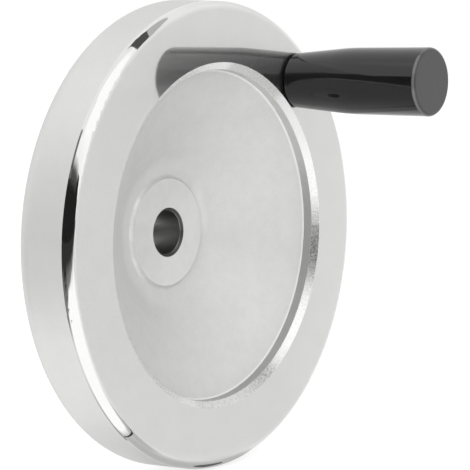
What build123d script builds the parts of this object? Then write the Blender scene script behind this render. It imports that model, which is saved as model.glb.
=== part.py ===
from build123d import *
import math
import os

# Machine handwheel, solid web, with a revolving grip. Millimetres.
# Y is the axis of rotation: the operator's side faces -Y, the shaft comes in from +Y.
# The origin is on the bore's axis, half way along the hub. Z is up.

# Wheel, front
wheel_d = 125.0             # over the rim at its widest, just before the rounding at its back
rim_depth = 18.4            # front face to the rim's back face
rim_draft = 0.6             # the outside widens by this much, in radius, from front to back
front_round = 2.2           # polished rounding round the front face
back_round = 5.0            # rounding at the back of the rim, for the fingers
rim_face_w = 16.1           # flat front of the rim, with its rounding
bevel_w = 1.9               # bevel between the face and the dish's short wall
bevel_depth = 1.5
web_edge_depth = 3.9        # where the web meets that wall, from the face
hub_face_depth = 18.4       # flat face of the hub, from the face
hub_face_d = 29.0
boss_height = 1.0           # the hub face stands this far proud of the web's foot
boss_flare = 0.8            # how far its side leans out over that height
boss_foot_round = 1.0
web_foot_w = 3.4            # from the boss's foot to where the web's slope starts, before rounding
web_foot_round = 8.0

# Wheel, back
web_thickness = 4.6         # square to the cone
hub_length = 18.0
hub_back_d = 31.0
hub_draft = 1.2             # growth in radius from the hub's end to the web
rim_back_w = 15.2           # thickness of the rim at its back face
rim_inner_draft = 0.9
rim_root_round = 3.0
hub_root_round = 4.0
hub_end_round = 0.8
rim_inner_round = 1.0

# Bore
bore_d = 12.0
bore_chamfer = 0.7

# Grip: place on the rim and outside shape
grip_inset = 9.1            # from the widest of the rim to the grip's axis
grip_angle = 50.0           # degrees above the horizontal, seen from the front
grip_gap = 0.7              # between the face and the grip's foot
grip_length = 42.6
grip_foot_d = 15.1
grip_shoulder_d = 18.1
grip_shoulder_at = 17.5     # from the foot, where the taper turns into the handle
grip_end_d = 18.4
grip_shoulder_blend = 70.0  # radius of the blend between the two
grip_end_round = 0.95
grip_foot_round = 0.4

# Grip: inside, and the spindle that carries it
spindle_d = 7.0
running_fit = 0.06          # radial, sleeve on spindle
collar_d = 11.2
collar_flats = 9.0          # across the two flats for the spanner
collar_height = 2.2
collar_side_fit = 0.7
collar_end_play = 0.5
spindle_end_gap = 0.6
sleeve_end_wall = 5.0
spindle_chamfer = 0.6
thread_d = 6.0              # M6 end, drawn at its outside diameter
thread_length = 12.0
thread_fit = 0.05
tapped_hole_depth = 14.0
tapped_hole_bevel = 0.5
drill_point_angle = 118.0
cutter_clearance = 1.0      # how far the drill's outline starts outside the face

# Snap ring between spindle and sleeve
ring_wire_d = 1.0
ring_seat_fit = 0.05
ring_from_end = 4.4         # from the spindle's free end to the middle of the ring
ring_bite = 0.05            # how far the wire's centre lies inside the spindle's surface
ring_gap_angle = 40.0
spindle_groove_w = 1.2
sleeve_groove_fit = 0.45

# Places that follow from these; those along the grip are counted from its foot
face_y = -hub_length / 2 - hub_face_depth
foot_y = face_y - grip_gap
grip_circle_r = wheel_d / 2 - grip_inset
sleeve_floor = grip_length - sleeve_end_wall
spindle_end = sleeve_floor - spindle_end_gap
ring_at = spindle_end - ring_from_end
ring_r = spindle_d / 2 - ring_bite


def corner(face, x, y):
    """The vertex of a flat outline that lies at x, y."""
    return face.vertices().sort_by_distance(Vector(x, y, 0))[0]


def rounded(points, rounds):
    """A closed outline with the named corners rounded: rounds is (corner number, radius)."""
    face = make_face(Polyline(*points, close=True))
    for number, radius in rounds:
        face = fillet(corner(face, *points[number]), radius)
    return face


def turned(face):
    return revolve(face, Axis.Y)


def wheel_blank():
    """The turned casting, before the spindle's hole is drilled. Depths are from the front face."""
    lean = rim_draft / rim_depth
    face_r = wheel_d / 2 - lean * (rim_depth - back_round) + back_round * (math.hypot(1, lean) - 1)
    dish_r = face_r - rim_face_w
    wall_r = dish_r - bevel_w
    foot_r = hub_face_d / 2 + boss_flare
    foot_depth = hub_face_depth + boss_height
    bend_r = foot_r + web_foot_w
    slope = (foot_depth - web_edge_depth) / (wall_r - bend_r)
    web_axial = web_thickness * math.hypot(1, slope)
    rim_back_r = face_r + rim_draft
    rim_mouth_r = rim_back_r - rim_back_w
    rim_root_r = rim_mouth_r - rim_inner_draft
    hub_root_r = hub_back_d / 2 + hub_draft
    chamfer_r = bore_d / 2 + bore_chamfer
    hub_end = hub_face_depth + hub_length

    def web_back(r):
        return foot_depth - slope * (r - bend_r) + web_axial

    outline = [
        (chamfer_r, hub_face_depth),
        (hub_face_d / 2, hub_face_depth),
        (foot_r, foot_depth),
        (bend_r, foot_depth),
        (wall_r, web_edge_depth),
        (wall_r, bevel_depth),
        (dish_r, 0),
        (face_r, 0),
        (rim_back_r, rim_depth),
        (rim_mouth_r, rim_depth),
        (rim_root_r, web_back(rim_root_r)),
        (hub_root_r, web_back(hub_root_r)),
        (hub_back_d / 2, hub_end),
        (chamfer_r, hub_end),
        (bore_d / 2, hub_end - bore_chamfer),
        (bore_d / 2, hub_face_depth + bore_chamfer),
    ]
    rounds = [
        (2, boss_foot_round),
        (3, web_foot_round),
        (7, front_round),
        (8, back_round),
        (9, rim_inner_round),
        (10, rim_root_round),
        (11, hub_root_round),
        (12, hub_end_round),
    ]
    points = [(r, face_y + depth) for r, depth in outline]
    return turned(rounded(points, rounds))


def tapped_hole():
    """Blind hole for the spindle's thread, drilled from the front face, about the Y axis."""
    r = thread_d / 2 + thread_fit
    point = r / math.tan(math.radians(drill_point_angle / 2))
    outline = [
        (0, -cutter_clearance),
        (r + tapped_hole_bevel + cutter_clearance, -cutter_clearance),
        (r, tapped_hole_bevel),
        (r, tapped_hole_depth),
        (0, tapped_hole_depth + point),
    ]
    points = [(x, face_y + depth) for x, depth in outline]
    return turned(make_face(Polyline(*points, close=True)))


def grip_sleeve():
    """Moulded sleeve with a closed end, about the Y axis, foot towards the wheel."""
    bore_r = spindle_d / 2 + running_fit
    pocket_r = collar_d / 2 + collar_side_fit
    pocket_depth = collar_height - grip_gap + collar_end_play
    groove_r = ring_r + ring_wire_d / 2 + sleeve_groove_fit
    groove_half = ring_wire_d / 2 + sleeve_groove_fit
    outline = [
        (pocket_r, 0),
        (grip_foot_d / 2, 0),
        (grip_shoulder_d / 2, grip_shoulder_at),
        (grip_end_d / 2, grip_length),
        (0, grip_length),
        (0, sleeve_floor),
        (bore_r, sleeve_floor),
        (bore_r, ring_at + groove_half),
        (groove_r, ring_at + groove_half),
        (groove_r, ring_at - groove_half),
        (bore_r, ring_at - groove_half),
        (bore_r, pocket_depth),
        (pocket_r, pocket_depth),
    ]
    points = [(r, foot_y - along) for r, along in outline]
    rounds = [(1, grip_foot_round), (2, grip_shoulder_blend), (3, grip_end_round)]
    return turned(rounded(points, rounds))


def grip_spindle():
    """Steel spindle: threaded end, collar seated on the wheel's face, shank with a ring groove."""
    shank_r = spindle_d / 2
    shank_end = grip_gap + spindle_end
    groove_near = grip_gap + ring_at - spindle_groove_w / 2
    groove_far = groove_near + spindle_groove_w
    groove_r = ring_r - ring_wire_d / 2 - ring_seat_fit
    outline = [
        (0, -thread_length),
        (thread_d / 2 - spindle_chamfer, -thread_length),
        (thread_d / 2, -thread_length + spindle_chamfer),
        (thread_d / 2, 0),
        (collar_d / 2, 0),
        (collar_d / 2, collar_height),
        (shank_r, collar_height),
        (shank_r, groove_near),
        (groove_r, groove_near),
        (groove_r, groove_far),
        (shank_r, groove_far),
        (shank_r, shank_end - spindle_chamfer),
        (shank_r - spindle_chamfer, shank_end),
        (0, shank_end),
    ]
    points = [(r, face_y - along) for r, along in outline]
    spindle = turned(make_face(Polyline(*points, close=True)))
    for side in (-1, 1):
        waste = Box(collar_d, collar_height, collar_d)
        shift = side * (collar_flats + collar_d) / 2
        spindle -= Pos(shift, face_y - collar_height / 2, 0) * waste
    return spindle


def snap_ring():
    """Split ring of round wire that sits in the spindle's groove."""
    wire = Pos(ring_r, foot_y - ring_at) * Circle(ring_wire_d / 2)
    return revolve(wire, Axis.Y, revolution_arc=360 - ring_gap_angle)


angle = math.radians(grip_angle)
on_rim = Pos(grip_circle_r * math.cos(angle), 0, grip_circle_r * math.sin(angle))

parts = {
    "wheel": wheel_blank() - on_rim * tapped_hole(),
    "grip_spindle": on_rim * grip_spindle(),
    "snap_ring": on_rim * snap_ring(),
    "grip_sleeve": on_rim * grip_sleeve(),
}

os.makedirs("parts", exist_ok=True)
for name, shape in parts.items():
    export_step(shape, f"parts/{name}.step")
    print(name, round(shape.volume, 1), "mm3, valid:", shape.is_valid)
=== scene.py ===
import math

import bpy
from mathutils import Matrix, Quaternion, Vector


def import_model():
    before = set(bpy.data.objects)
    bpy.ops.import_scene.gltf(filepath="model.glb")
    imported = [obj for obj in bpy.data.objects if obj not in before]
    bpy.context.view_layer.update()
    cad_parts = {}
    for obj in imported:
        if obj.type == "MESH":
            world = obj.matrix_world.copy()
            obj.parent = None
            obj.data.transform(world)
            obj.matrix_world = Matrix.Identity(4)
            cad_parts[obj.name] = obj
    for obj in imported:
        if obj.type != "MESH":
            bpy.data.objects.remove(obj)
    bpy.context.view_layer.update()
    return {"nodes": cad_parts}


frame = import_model()
nodes = frame["nodes"]

MM = 0.001

# The wheel, in millimetres: radii from its axis, depths behind its front face
FACE_Y = -27.4
RIM_R = 62.5
RIM_BACK_FLAT_R = 57.6      # inside this, the rim's back is flat
POLISH_DEPTH = 2.75         # how far the polish reaches round the front edge
FACE_INNER_R = 45.97
BEVEL_W = 1.9
BEVEL_DEPTH = 1.5
WALL_R = FACE_INNER_R - BEVEL_W
WALL_DEPTH = 3.9            # where the dish's short wall meets the web
WEB_FOOT_R = 18.7
WEB_FOOT_DEPTH = 19.4
BOSS_R = 14.5
BORE_R = 6.0
BORE_CHAMFER = 0.7
GRIP_FOOT_Y = FACE_Y - 0.7
GRIP_END_Y = GRIP_FOOT_Y - 42.6

# How light each finish of the wheel is, as a share of white
OUTSIDE_TONE = 0.547
DISH_TONE = 0.518
BACK_TONE = 0.64
POLISHED_TONE = 0.72
BEVEL_TONE = 0.78
# the bore is darkened, painted shade in the hole; its chamfer is darker still, a near-black ring
BORE_TONE = 0.26
BORE_EDGE_TONE = 0.10

# How rough each finish is
MIRROR_ROUGH = 0.035
SCRATCH_ROUGH = 0.42
OUTSIDE_ROUGH = 0.50
DISH_ROUGH = 0.48
BACK_ROUGH = 0.55
BORE_ROUGH = 0.35

# Stretches round the wheel where dark reflections and highlights are painted into the tone, in
# degrees from the right,
# through the top: their middle, how far they reach from it at full strength, and where they have
# faded out
DARK_REFLECTION_LOW = (-81, 19, 27)
DARK_REFLECTION_TOP = (70, 13, 18)
BEVEL_HIGHLIGHT = (27, 14, 30)
WALL_HIGHLIGHT = (48, 12, 46)
FOOT_HIGHLIGHT = (20, 10, 34)

# The camera: place in metres, direction of view, turn about it and focal length
CAMERA_AT = (-0.43526, -0.348255, 0.048852)
CAMERA_LOOK = (0.805136, 0.586308, -0.089437)
CAMERA_ROLL = 0.003
CAMERA_LENS = 156.674
CAMERA_SENSOR = 36.0


# ---------------------------------------------------------------- node helpers

class Graph:
    """A material's or world's node tree, with short names for what is used often."""

    def __init__(self, tree):
        self.tree = tree
        tree.nodes.clear()

    def add(self, kind, inputs=None, **settings):
        n = self.tree.nodes.new(kind)
        for name, value in settings.items():
            setattr(n, name, value)
        for key, value in (inputs or {}).items():
            self.put(n.inputs[key], value)
        return n

    def put(self, socket, value):
        if isinstance(value, bpy.types.NodeSocket):
            self.tree.links.new(value, socket)
        else:
            socket.default_value = value

    def math(self, operation, a, b=0.0, c=0.0):
        return self.add("ShaderNodeMath", {0: a, 1: b, 2: c}, operation=operation).outputs[0]

    def total(self, first, *others):
        for other in others:
            first = self.math("ADD", first, other)
        return first

    def product(self, first, *others):
        for other in others:
            first = self.math("MULTIPLY", first, other)
        return first

    def less(self, a, b):
        return self.math("SUBTRACT", a, b)

    def lift(self, value, mask, amount):
        """The value, raised by amount where the mask is 1."""
        return self.math("MULTIPLY_ADD", mask, amount, value)

    def swing(self, noise, width):
        """A noise about zero, width from its lowest to its highest."""
        return self.product(self.less(noise, 0.5), width)

    def span(self, value, lo, hi, to_lo=0.0, to_hi=1.0, smooth=True):
        """to_lo where value is lo or less, to_hi where it is hi or more."""
        n = self.add(
            "ShaderNodeMapRange",
            {"Value": value, "From Min": lo, "From Max": hi, "To Min": to_lo, "To Max": to_hi},
            interpolation_type="SMOOTHSTEP" if smooth else "LINEAR",
        )
        return n.outputs["Result"]

    def ramp(self, value, lo, hi, to_lo=0.0, to_hi=1.0):
        """As span, but straight between the two."""
        return self.span(value, lo, hi, to_lo, to_hi, smooth=False)

    def above(self, value, edge, blur=0.05):
        """1 where value is over the edge, 0 under it."""
        return self.span(value, edge - blur, edge + blur)

    def below(self, value, edge, blur=0.05):
        """1 where value is under the edge, 0 over it."""
        return self.span(value, edge - blur, edge + blur, 1, 0)

    def around(self, value, middle, inner, outer, to_in=1.0, to_out=0.0):
        """to_in where value is within inner of the middle, to_out where it is past outer."""
        away = self.math("ABSOLUTE", self.less(value, middle))
        return self.span(away, inner, outer, to_in, to_out)

    def lerp(self, factor, a, b):
        n = self.add("ShaderNodeMix", {0: factor, 2: a, 3: b}, data_type="FLOAT")
        return n.outputs[0]

    def noise(self, vector, scale, detail=2.0, roughness=0.5):
        n = self.add(
            "ShaderNodeTexNoise",
            {"Vector": vector, "Scale": scale, "Detail": detail, "Roughness": roughness},
        )
        return n.outputs["Fac"]

    def vector(self, x, y, z):
        return self.add("ShaderNodeCombineXYZ", {0: x, 1: y, 2: z}).outputs[0]

    def grey(self, tone, blue=1.0):
        """A grey, with its blue part scaled."""
        parts = {0: tone, 1: tone, 2: self.product(tone, blue)}
        return self.add("ShaderNodeCombineColor", parts).outputs[0]

    def bump(self, height, strength=1.0):
        """A normal from a height in millimetres."""
        inputs = {"Height": height, "Distance": MM, "Strength": strength}
        return self.add("ShaderNodeBump", inputs).outputs[0]

    def places(self):
        """Object coordinates in millimetres, whole and by axis."""
        n = self.add("ShaderNodeTexCoord")
        scaled = self.add(
            "ShaderNodeVectorMath",
            {0: n.outputs["Object"], 1: (1 / MM,) * 3},
            operation="MULTIPLY",
        )
        parts = self.add("ShaderNodeSeparateXYZ", {0: scaled.outputs[0]})
        return scaled.outputs[0], parts.outputs[0], parts.outputs[1], parts.outputs[2]


def material(name):
    made = bpy.data.materials.new(name)
    made.use_nodes = True
    return made, Graph(made.node_tree)


def surface(g, **inputs):
    """A Principled shader on the material's output."""
    inputs = {name.replace("_", " "): value for name, value in inputs.items()}
    shader = g.add("ShaderNodeBsdfPrincipled", inputs)
    g.add("ShaderNodeOutputMaterial", {"Surface": shader.outputs[0]})


def grey(v):
    return (v, v, v, 1.0)


# ---------------------------------------------------------------- materials

class WheelMaps:
    """Coordinates on the wheel, masks that are 1 where a finish lies, and noises."""

    def __init__(self, g):
        self.place, self.x, y, self.z = g.places()
        self.r = g.math("SQRT", g.total(g.product(self.x, self.x), g.product(self.z, self.z)))
        self.depth = g.less(y, FACE_Y)
        turn = g.math("ARCTAN2", self.z, self.x)
        self.angle = g.math("DEGREES", turn)
        self.set_masks(g)
        self.set_noises(g, turn)

    def set_masks(self, g):
        on_rim = g.above(self.r, FACE_INNER_R)
        self.polished = g.product(on_rim, g.below(self.depth, POLISH_DEPTH))
        self.outside = g.product(
            g.above(self.r, RIM_BACK_FLAT_R + 0.2, 0.2),
            g.above(self.depth, POLISH_DEPTH),
        )
        past_wall = g.above(self.r, WALL_R + 0.06, 0.04)
        over_wall = g.below(self.depth, BEVEL_DEPTH + 0.3, 0.1)
        self.bevel = g.product(g.less(past_wall, on_rim), over_wall)

        # the web's front lies on a cone; the mask ends within the web's thickness
        slope = (WEB_FOOT_DEPTH - WALL_DEPTH) / (WALL_R - WEB_FOOT_R)
        cone = WEB_FOOT_DEPTH + slope * WEB_FOOT_R
        self.front = g.below(g.total(self.depth, g.product(self.r, slope)), cone + 2.2, 0.2)
        self.dish = g.product(self.front, g.below(self.r, WALL_R + 0.06, 0.04))
        self.web = g.product(self.front, g.below(self.r, WALL_R - 0.1))
        self.bore = g.below(self.r, BORE_R + 0.06, 0.04)
        self.bore_edge = g.less(g.below(self.r, BORE_R + BORE_CHAMFER - 0.01, 0.03), self.bore)

    def set_noises(self, g, turn):
        # turning marks: rings that follow the radius on faces and the depth on the outside
        along = (g.product(self.r, 14), g.product(self.depth, 14), g.product(turn, 1.5))
        self.rings = g.noise(g.vector(*along), 1.0, 3, 0.6)
        self.blotch = g.noise(self.place, 0.12, 3, 0.55)
        self.grain = g.noise(self.place, 4.0, 3, 0.6)
        self.cast = g.noise(self.place, 1.6, 4, 0.65)
        self.mottle = g.noise(self.place, 0.35, 4, 0.65)
        self.patches = g.noise(self.place, 0.25, 2, 0.5)
        self.scratches = g.noise(self.place, 25.0, 1, 0.5)


def wheel_roughness(g, on):
    """Each finish's roughness; fine scratches haze the mirror, fewer of them on its rounding."""
    on_face = g.span(on.scratches, 0.54, 0.60)
    on_rounding = g.span(on.scratches, 0.74, 0.80)
    scratched = g.lerp(g.span(on.depth, 0.02, 0.10), on_face, on_rounding)
    rough = g.lerp(on.dish, BACK_ROUGH, g.total(DISH_ROUGH, g.swing(on.blotch, 0.08)))
    rough = g.lerp(on.outside, rough, g.total(OUTSIDE_ROUGH, g.swing(on.rings, 0.12)))
    rough = g.lerp(on.bevel, rough, g.span(on.cast, 0.35, 0.65, 0.24, 0.34))
    rough = g.lerp(on.polished, rough, g.lerp(scratched, MIRROR_ROUGH, SCRATCH_ROUGH))
    return g.lerp(on.bore, rough, BORE_ROUGH)


def bevel_dark_reflections(g, on):
    """The share of the tone left by painted dark reflections on the bevel, low down and near the top,
    mottled by its cast texture.
    """
    low = g.lerp(on.bevel, 1.0, g.span(on.cast, 0.30, 0.70, 0.70, 0.92))
    low = g.lerp(g.around(on.angle, *DARK_REFLECTION_LOW), 1.0, low)
    top = g.span(on.cast, 0.30, 0.70, 0.70, 0.80)
    return g.lerp(g.product(g.around(on.angle, *DARK_REFLECTION_TOP), on.bevel), low, top)


def web_highlights(g, on):
    """Painted highlights on the web: thin lines by the wall and on the boss's edge, a mottled one on
    the boss's side at the left, and one about its foot at the right.
    """
    left = g.span(g.math("ABSOLUTE", on.angle), 115, 150)
    by_wall = g.span(on.r, WALL_R - 0.7, WALL_R - 0.3, 0, 1.6)
    boss_edge = g.around(on.r, BOSS_R, 0.15, 0.4)
    # painted highlights: on the boss's side at the left, and about its foot at the right
    flare = g.product(
        g.span(on.patches, 0.35, 0.6, 0.7, 1.6),
        g.around(on.r, BOSS_R + 0.75, 0.2, 0.7),
        left,
    )
    foot = g.product(
        g.around(on.r, BOSS_R + 2.3, 0.2, 2.8, 0.65),
        g.around(on.angle, *FOOT_HIGHLIGHT),
    )
    return g.product(on.web, g.total(by_wall, g.product(boss_edge, 0.35), flare, foot))


def wheel_tone(g, on):
    """Each finish's tone, with what casting and turning add to it, and painted reflections,
    highlights and shade.
    """
    tone = g.lerp(on.outside, g.lerp(on.dish, BACK_TONE, DISH_TONE), OUTSIDE_TONE)
    tone = g.lerp(on.bevel, g.lerp(on.polished, tone, POLISHED_TONE), BEVEL_TONE)
    tone = g.total(tone, g.swing(on.blotch, 0.05), g.swing(on.grain, 0.13))
    tone = g.lift(tone, on.dish, g.swing(on.mottle, 0.08))
    # painted dark reflections on the bevel, mottled by its cast texture
    tone = g.product(tone, bevel_dark_reflections(g, on))
    # painted highlight on the bevel at the upper right
    tone = g.lift(tone, on.bevel, g.around(on.angle, *BEVEL_HIGHLIGHT, 0.09))
    # painted highlight on the dish's short wall at the upper right
    wall = g.less(on.dish, on.web)
    tone = g.lift(tone, wall, g.around(on.angle, *WALL_HIGHLIGHT, 0.24, 0.02))
    # painted highlights on the web
    tone = g.lift(tone, web_highlights(g, on), 0.10)

    # painted shading: the hub's face grows lighter to its lower right
    hub_face = g.product(on.web, g.below(on.r, BOSS_R - 0.2, 0.2))
    tone = g.lift(tone, hub_face, g.span(g.lift(on.x, on.z, -0.6), -8, 11, 0, 0.05))
    # painted shade: the bore is darkened; its chamfer is a near-black ring
    tone = g.lerp(on.bore, tone, BORE_TONE)
    return g.lerp(on.bore_edge, tone, BORE_EDGE_TONE)


def wheel_relief(g, on):
    """Height in millimetres: turning marks, the bevel's cast skin, and grain off the mirror."""
    marks = g.product(on.rings, g.lerp(on.polished, 0.0025, 0.00012))
    skin = g.product(on.cast, on.bevel, 0.03)
    grain = g.product(on.grain, g.less(1.0, on.polished), 0.004)
    return g.total(marks, skin, grain)


def wheel_metal():
    """Aluminium casting: polished rim face, satin outside and dish, plain turned back and as-cast
    bevel. The satin parts scatter light as well as mirroring it, so they are only partly metallic."""
    made, g = material("wheel_aluminium")
    on = WheelMaps(g)
    on_front = g.math("MAXIMUM", g.math("MAXIMUM", on.polished, on.front), on.bevel)
    metal = g.lerp(on.outside, g.lerp(on_front, 0.45, 1.0), 0.48)
    metal = g.lerp(on.web, metal, 0.30)
    metal = g.lerp(g.math("MAXIMUM", on.bore, on.bore_edge), metal, 1.0)
    surface(
        g,
        Base_Color=g.grey(wheel_tone(g, on), 0.99),
        Metallic=metal,
        Roughness=wheel_roughness(g, on),
        Normal=g.bump(wheel_relief(g, on)),
    )
    return made


def grip_plastic():
    """Black glossy moulding compound, dulled on its end, with a painted highlight in a lighter ring
    round the end's edge.
    """
    made, g = material("grip_black")
    place, _, y, _ = g.places()
    rough = g.span(g.noise(place, 0.5, 3, 0.5), 0.3, 0.7, 0.06, 0.10)
    tone = g.span(g.noise(place, 3.0, 2, 0.5), 0.3, 0.7, 0.005, 0.008)
    end = g.below(y, GRIP_END_Y + 0.25, 0.15)
    tone = g.lift(tone, end, 0.026)
    # painted highlight: a lighter ring round the end's edge
    tone = g.total(tone, g.around(y, GRIP_END_Y + 0.55, 0.15, 0.45, 0.09))
    surface(
        g,
        Base_Color=g.grey(tone),
        Roughness=g.lerp(end, rough, 0.25),
        IOR=1.5,
        Normal=g.bump(g.noise(place, 0.25, 2, 0.4), 0.01),
    )
    return made


def turned_steel(name, tone, roughness):
    """Bare steel with fine turning marks; tone and roughness are its middle values."""
    made, g = material(name)
    place, _, y, _ = g.places()
    marks = g.noise(g.vector(0.0, g.product(y, 18), 0.0), 1.0, 3, 0.6)
    value = g.span(g.noise(place, 0.9, 3, 0.6), 0.3, 0.7, tone * 0.94, tone * 1.06)
    surface(
        g,
        Base_Color=g.grey(value, 1.01),
        Metallic=1.0,
        Roughness=g.span(marks, 0.3, 0.7, roughness - 0.06, roughness + 0.06),
        Normal=g.bump(marks, 0.004),
    )
    return made


def paint(node, made):
    for slot in nodes[node].material_slots:
        slot.material = made


paint("wheel", wheel_metal())
paint("grip_sleeve", grip_plastic())
paint("grip_spindle", turned_steel("spindle_steel", 0.55, 0.28))
paint("snap_ring", turned_steel("ring_steel", 0.40, 0.35))


# ---------------------------------------------------------------- studio

# A white tent over a white floor. Its dome, its dark opening and its boards are cards that only
# mirror-like surfaces see; the plain white world and a softbox light what is satin.
# Directions are azimuth and elevation in degrees; azimuth is counted from the wheel's front,
# negative to the left.

TENT_R = 6.0
CARD_R = 5.8                # the cards hang just inside the tent
FLOOR_Z = -RIM_R * MM
FLOOR_HALF = 8.0
# How far the cards lie over the floor: the marks over its sheen, the opening's foot over both
SHEEN_LIFT = 0.0001
MARK_LIFT = 0.0002
CARD_LIFT = 0.0005
SOFTBOX_WAY = (-60, 10)
SOFTBOX_AWAY = 1.2
SOFTBOX_SIDE = 0.8
SOFTBOX_POWER = 11.0

# The tent's dark opening: azimuth, and the elevation up to which it is dark there
OPENING_FOOT = -1
OPENING = (
    (13, 1),
    (8, 5),
    (2, 8),
    (-4, 11),
    (-12, 14),
    (-22, 17.5),
    (-34, 22),
    (-46, 27),
    (-58, 30.5),
    (-70, 33),
    (-82, 35),
    (-100, 35),
    (-118, 34),
    (-130, 33),
    (-140, 31),
)
# The gap between the tent's two halves, overhead from front to back, as pairs of edge directions
TOP_GAP = (
    ((32.5, 34), (26.5, 33)),
    ((31, 40), (24, 38)),
    ((31, 54), (17, 53)),
    ((41, 69), (13, 69)),
    ((85, 77), (21, 85)),
    ((133, 70), (167, 79)),
    ((148, 63), (168, 71)),
    ((157, 58), (168, 62)),
)
# The grey panel to the right of the gap
TOP_PANEL = (
    ((34, 30), (35, 31)),
    ((33, 32), (36, 36)),
    ((31, 40), (39, 43)),
    ((31, 50), (45, 51)),
    ((34, 60), (57, 58)),
    ((41, 69), (74, 63)),
    ((60, 74), (89, 65)),
    ((85, 77), (104, 65)),
    ((112, 75), (115, 64)),
    ((125, 72.5), (124, 64)),
    ((133, 70), (131, 65)),
    ((137, 67.5), (137, 67)),
)
# A dark edge behind the left side, rising from the opening
BACK_EDGE = (
    ((-127, 25), (-131, 22)),
    ((-129.5, 29), (-134.5, 25)),
    ((-135, 38), (-141, 34)),
    ((-141, 44), (-147, 40)),
)
# Two white boards close to the wheel, in millimetres, as pairs of low and high points. They hide
# the opening's upper part from the grip, not from the wheel's left side.
BOARD_FRONT = (
    ((-96, -142, 112), (-96, -142, 152)),
    ((-123, -113, 112), (-123, -113, 152)),
    ((-145, -66, 112), (-145, -66, 152)),
)
BOARD_BACK = (
    ((-113, 0, 86), (-113, 0, 150)),
    ((-101, 27, 86), (-101, 27, 160)),
    ((-81, 51, 104), (-81, 51, 200)),
    ((-50, 75, 124), (-50, 75, 215)),
)

# What lies on the floor, x and y in millimetres, y growing away from the front.
# The dark frame of the white board at the left, as pairs of edge points
FRAME = (
    ((-33.6, -14.5), (-33.0, -14.5)),
    ((-36.1, -18.0), (-35.4, -18.0)),
    ((-37.4, -22.0), (-36.6, -22.0)),
    ((-37.7, -26.0), (-36.9, -26.0)),
    ((-37.2, -30.2), (-36.4, -29.8)),
    ((-35.5, -34.6), (-34.7, -34.0)),
    ((-32.2, -40.0), (-31.4, -39.2)),
    ((-25.8, -47.0), (-24.9, -46.2)),
    ((-18.8, -55.6), (-17.4, -54.6)),
    ((-12.2, -66.4), (-10.4, -65.6)),
)
# A dark strip where the front of the wheel nearly meets the floor: a painted contact shadow
CONTACT_SHADOW = (
    ((-10.5, -27.6), (-9.5, -26.6)),
    ((-7, -28.4), (-6.5, -26.4)),
    ((-2, -28.3), (-2.5, -26.8)),
    ((2, -28.1), (2, -27.1)),
)
# Shades on the floor, each along a line between two points: beside the board's frame, under the
# wheel, a faint one out to the right and the front, and one far out in front
FRAME_SHADE = ((-28, -40), (-22, -56))
WHEEL_SHADE = ((-32, -25), (8, -24))
LONG_SHADE = ((30, -60), (4880, -4260))
FAR_SHADE = ((100, -440), (130, -500))
# The white board's far edge, a bent line
BOARD_FAR_EDGE = ((-33, -14.5), (-72, 3), (-131, 39))
# The floor's light ends LEFT_END to the left, and nearer by LEFT_END_BEND behind the wheel. It
# also ends at a line that lies FRONT_END out towards FRONT_END_WAY, given as right and ahead.
LEFT_END = 204.0
LEFT_END_BEND = 95.0
FRONT_END = 344.7
FRONT_END_WAY = (-0.897, 0.442)


def way(azimuth, elevation):
    """The unit vector in that direction."""
    a, e = math.radians(azimuth), math.radians(elevation)
    return Vector((math.sin(a) * math.cos(e), -math.cos(a) * math.cos(e), math.sin(e)))


def on_sky(azimuth, elevation):
    """The point of a card in that direction, or on the floor where the floor comes first."""
    direction = way(azimuth, elevation)
    reach = CARD_R
    if direction.z < 0:
        reach = min(reach, (FLOOR_Z + CARD_LIFT) / direction.z)
    return direction * reach


def on_floor(x, y):
    """A point of a mark on the floor, from millimetres."""
    return Vector((x * MM, y * MM, FLOOR_Z + MARK_LIFT))


def near(x, y, z):
    """A point close to the wheel, from millimetres."""
    return Vector((x, y, z)) * MM


def world():
    """Plain white light from everywhere."""
    made = bpy.data.worlds.new("white")
    made.use_nodes = True
    g = Graph(made.node_tree)
    shade = g.add("ShaderNodeBackground", {"Color": grey(1.0), "Strength": 1.0})
    g.add("ShaderNodeOutputWorld", {"Surface": shade.outputs[0]})
    bpy.context.scene.world = made


def glow(made, g, strength):
    shade = g.add("ShaderNodeEmission", {"Color": grey(1.0), "Strength": strength})
    g.add("ShaderNodeOutputMaterial", {"Surface": shade.outputs[0]})
    return made


def plain_glow(name, strength):
    made, g = material(name)
    return glow(made, g, strength)


def card(name, points, faces, look, up=()):
    """A card that only mirror-like surfaces see; up is how high each point lies on it."""
    mesh = bpy.data.meshes.new(name)
    mesh.from_pydata(points, [], faces)
    if up:
        mesh.attributes.new("up", "FLOAT", "POINT").data.foreach_set("value", up)
    mesh.materials.append(look)
    made = bpy.data.objects.new(name, mesh)
    bpy.context.scene.collection.objects.link(made)
    made.visible_camera = False
    made.visible_diffuse = False
    made.visible_shadow = False


def grid_faces(columns, rows):
    """Faces between points that are listed column by column."""
    return [
        (k, k + rows, k + rows + 1, k + 1)
        for c in range(columns - 1)
        for k in range(c * rows, c * rows + rows - 1)
    ]


def band(name, pairs, place, look):
    """A strip between two rows of points."""
    points = [place(*point) for pair in pairs for point in pair]
    card(name, points, grid_faces(len(pairs), 2), look)


def square(half, z):
    """The corners of a level square about the origin."""
    return [(-half, -half, z), (half, -half, z), (half, half, z), (-half, half, z)]


def directions(g):
    """The height of a point's direction from the origin, and how far it faces another one."""
    place = g.add("ShaderNodeTexCoord").outputs["Object"]
    away = g.add("ShaderNodeVectorMath", {0: place}, operation="NORMALIZE").outputs[0]

    def facing(azimuth, elevation=0):
        toward = {0: away, 1: way(azimuth, elevation)}
        return g.add("ShaderNodeVectorMath", toward, operation="DOT_PRODUCT").outputs["Value"]

    return g.add("ShaderNodeSeparateXYZ", {0: away}).outputs[2], facing


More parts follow.
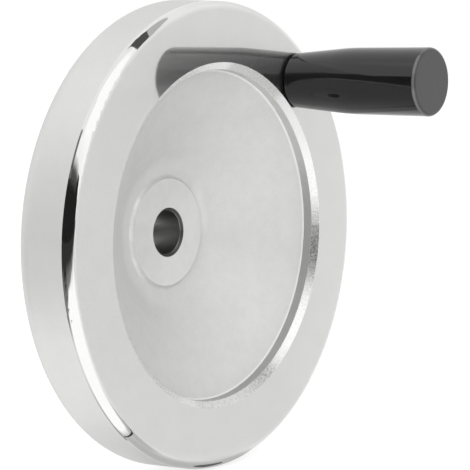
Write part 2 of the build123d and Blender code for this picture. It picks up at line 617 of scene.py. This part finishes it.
def tent_light():
    """Strong at the left over the opening; plainer at the right, with a bright patch low down
    and a dim one over it."""
    made, g = material("tent")
    height, facing = directions(g)
    low_patch = g.span(facing(88, 4), 0.955, 0.985, 0.0, 0.20)
    dim_patch = g.span(facing(105, 26), 0.85, 0.97, 0.0, 0.09)
    right = g.total(g.ramp(height, 0.0, 0.55, 0.90, 1.09), low_patch)
    right = g.less(right, dim_patch)
    over_opening = g.less(height, g.lift(0.17, facing(-100), 0.5))
    left = g.span(over_opening, -0.03, 0.40, 1.20, 1.36)
    return glow(made, g, g.lerp(g.span(facing(-66), -0.02, 0.20), right, left))


def opening_dark():
    """Nearly black; at the left its upper edge is soft."""
    made, g = material("opening")
    _, facing = directions(g)
    up = g.add("ShaderNodeAttribute", attribute_name="up").outputs["Fac"]
    soft = g.total(g.span(up, 0.60, 0.82, 0.0, 0.09), g.span(up, 0.82, 1.0, 0.0, 0.85))
    at_left = g.span(facing(-85, 27), 0.45, 0.80)
    return glow(made, g, g.lift(0.018, soft, at_left))


def back_edge_light():
    """Darkest in its middle."""
    made, g = material("back_edge")
    _, facing = directions(g)
    return glow(made, g, g.span(facing(-135, 29), 0.955, 0.995, 0.80, 0.20))


class FloorMaps:
    """Coordinates on the floor in millimetres; ahead is how far a point lies in front."""

    def __init__(self, g):
        self.g = g
        _, self.x, self.y, _ = g.places()
        _, self.facing = directions(g)
        self.ahead = g.product(self.y, -1.0)
        self.reach = self.length(self.x, self.y)

    def length(self, u, v):
        return self.g.math("SQRT", self.g.lift(self.g.product(v, v), u, u))

    def from_line(self, start, end):
        """Distance from the line between two points."""
        g = self.g
        dx, dy = end[0] - start[0], end[1] - start[1]
        u = g.less(self.x, start[0])
        v = g.less(self.y, start[1])
        along = g.lift(g.product(v, dy), u, dx)
        share = g.ramp(along, 0.0, dx * dx + dy * dy)
        return self.length(g.less(u, g.product(share, dx)), g.less(v, g.product(share, dy)))


def board_mask(g, at):
    """1 on the white board at the left; its right edge blurs towards the front."""
    edge = g.total(g.ramp(at.ahead, 30, 45, -36.8, -31.0), g.ramp(at.ahead, 66, 200, 0, 110))
    blur = g.ramp(at.ahead, 51, 273, 4, 170)
    return g.span(g.math("DIVIDE", g.less(at.x, edge), blur), -1, 0, 1, 0)


def plain_floor(g, at):
    """The white floor, lighter far out at the right and close by under the wheel's right side,
    less the shades on it."""
    far_right = g.product(g.span(at.x, 120, 400), g.span(at.facing(95), 0.80, 0.92, 0.0, 0.16))
    under_right = g.product(g.span(at.x, 12, 24, 0.0, 0.07), g.span(at.ahead, 33, 45, 1.0, 0.0))
    plain = g.total(g.span(at.reach, 60, 300, 1.03, 1.0), far_right, under_right)
    by_frame = g.span(at.from_line(*FRAME_SHADE), 5, 17, 0.40, 0.0)
    under_wheel = g.span(at.from_line(*WHEEL_SHADE), 3, 16, 0.42, 0.0)
    widths_away = g.math("DIVIDE", at.from_line(*LONG_SHADE), g.lift(15.0, at.reach, 0.08))
    along = g.span(widths_away, 1, 2.4, 0.14, 0.0)
    far = g.span(at.from_line(*FAR_SHADE), 40, 110, 0.10, 0.0)
    for shade in (g.math("MAXIMUM", by_frame, under_wheel), along, far):
        plain = g.less(plain, shade)
    return plain


def far_edge_light(g, at):
    """What the board's far edge leaves of the light; it shows as a thin line along the wheel's
    outside."""
    near_end, bend, far_end = BOARD_FAR_EDGE
    away = g.math("MINIMUM", at.from_line(near_end, bend), at.from_line(bend, far_end))
    thick = g.ramp(at.x, far_end[0], -37, 7.0, 1.8)
    over = g.span(g.math("DIVIDE", away, thick), 0.8, 1.4, 1.0, 0.0)
    deep = g.math("MAXIMUM", g.span(at.x, -125, -80, 0.85, 0.30), g.span(at.x, -70, -42, 0.30, 0.55))
    return g.less(1.0, g.product(over, deep))


def light_end(g, at):
    """1 where the floor is lit, and its darkness beyond, which deepens outwards."""
    bend = g.ramp(at.ahead, -40, 70, 1, 0)
    left_end = g.lift(LEFT_END, g.product(bend, bend), -LEFT_END_BEND)
    left_end = g.less(left_end, g.span(at.ahead, 240, 460, 0, 70))
    past_left = g.product(g.total(at.x, left_end), -1.0)
    right, ahead = FRONT_END_WAY
    past_front = g.total(g.lift(-FRONT_END, at.ahead, ahead), g.product(at.x, right))
    fade = g.ramp(g.math("MAXIMUM", past_left, past_front), 0, 260, 1, 0)
    dark = g.lift(0.04, g.product(fade, fade), 0.30)
    lit = g.product(g.span(past_left, -14, 14, 1, 0), g.span(past_front, -150, 40, 1, 0))
    return lit, dark


def sheen_light():
    """The floor as the metal mirrors it: a white board at the left, the wheel's own shade and
    the floor's dark end towards the opening."""
    made, g = material("sheen")
    at = FloorMaps(g)
    floor = g.lerp(board_mask(g, at), plain_floor(g, at), 1.35)
    floor = g.product(floor, far_edge_light(g, at))
    lit, dark = light_end(g, at)
    return glow(made, g, g.lerp(lit, dark, floor))


def tent():
    """A dome over the floor, and the floor's sheen under it."""
    columns, rows = 48, 13
    foot = -2
    points = [
        way(-180 + 360 * c / columns, 90 * i / (rows - 1) + foot) * TENT_R
        for c in range(columns + 1)
        for i in range(rows)
    ]
    card("tent", points, grid_faces(columns + 1, rows), tent_light())
    card("sheen", square(TENT_R, FLOOR_Z + SHEEN_LIFT), [(0, 1, 2, 3)], sheen_light())


def opening():
    rows = 25
    points = [
        on_sky(azimuth, OPENING_FOOT + (top - OPENING_FOOT) * i / (rows - 1))
        for azimuth, top in OPENING
        for i in range(rows)
    ]
    up = [i / (rows - 1) for i in range(rows)] * len(OPENING)
    card("opening", points, grid_faces(len(OPENING), rows), opening_dark(), up)


def softbox():
    """Broad soft light from the left; it shades the satin surfaces."""
    lamp = bpy.data.lights.new("softbox", "AREA")
    lamp.shape = "SQUARE"
    lamp.size = SOFTBOX_SIDE
    lamp.energy = SOFTBOX_POWER
    placed = bpy.data.objects.new("softbox", lamp)
    placed.location = way(*SOFTBOX_WAY) * SOFTBOX_AWAY
    placed.rotation_euler = way(*SOFTBOX_WAY).to_track_quat("Z", "Y").to_euler()
    placed.visible_glossy = False
    bpy.context.scene.collection.objects.link(placed)


def floor():
    """The floor that the camera sees; most of its light is its own, so shadows on it are faint."""
    mesh = bpy.data.meshes.new("floor")
    mesh.from_pydata(square(FLOOR_HALF, FLOOR_Z), [], [(0, 1, 2, 3)])
    ground = bpy.data.objects.new("floor", mesh)
    bpy.context.scene.collection.objects.link(ground)
    made, g = material("floor_white")
    surface(
        g,
        Base_Color=grey(0.40),
        Roughness=1.0,
        Specular_IOR_Level=0.0,
        Emission_Color=grey(1.0),
        Emission_Strength=0.70,
    )
    mesh.materials.append(made)


world()
tent()
opening()
band("top_gap", TOP_GAP, on_sky, plain_glow("top_gap", 0.10))
band("top_panel", TOP_PANEL, on_sky, plain_glow("top_panel", 0.60))
band("back_edge", BACK_EDGE, on_sky, back_edge_light())
band("frame", FRAME, on_floor, plain_glow("frame", 0.06))
band("contact_shadow", CONTACT_SHADOW, on_floor, plain_glow("contact_shadow", 0.16))
band("board_front", BOARD_FRONT, near, plain_glow("board_front", 1.34))
band("board_back", BOARD_BACK, near, plain_glow("board_back", 1.10))
softbox()
floor()


# ---------------------------------------------------------------- camera

cam_data = bpy.data.cameras.new("camera")
cam_data.lens = CAMERA_LENS
cam_data.sensor_width = CAMERA_SENSOR
cam_data.clip_start = 0.01
cam_data.clip_end = 50.0
cam = bpy.data.objects.new("camera", cam_data)
bpy.context.scene.collection.objects.link(cam)
cam.location = CAMERA_AT
cam.rotation_mode = "QUATERNION"
roll = Quaternion((0, 0, 1), CAMERA_ROLL)
cam.rotation_quaternion = Vector(CAMERA_LOOK).to_track_quat("-Z", "Y") @ roll
bpy.context.scene.camera = cam
bpy.context.scene.view_settings.view_transform = "Standard"
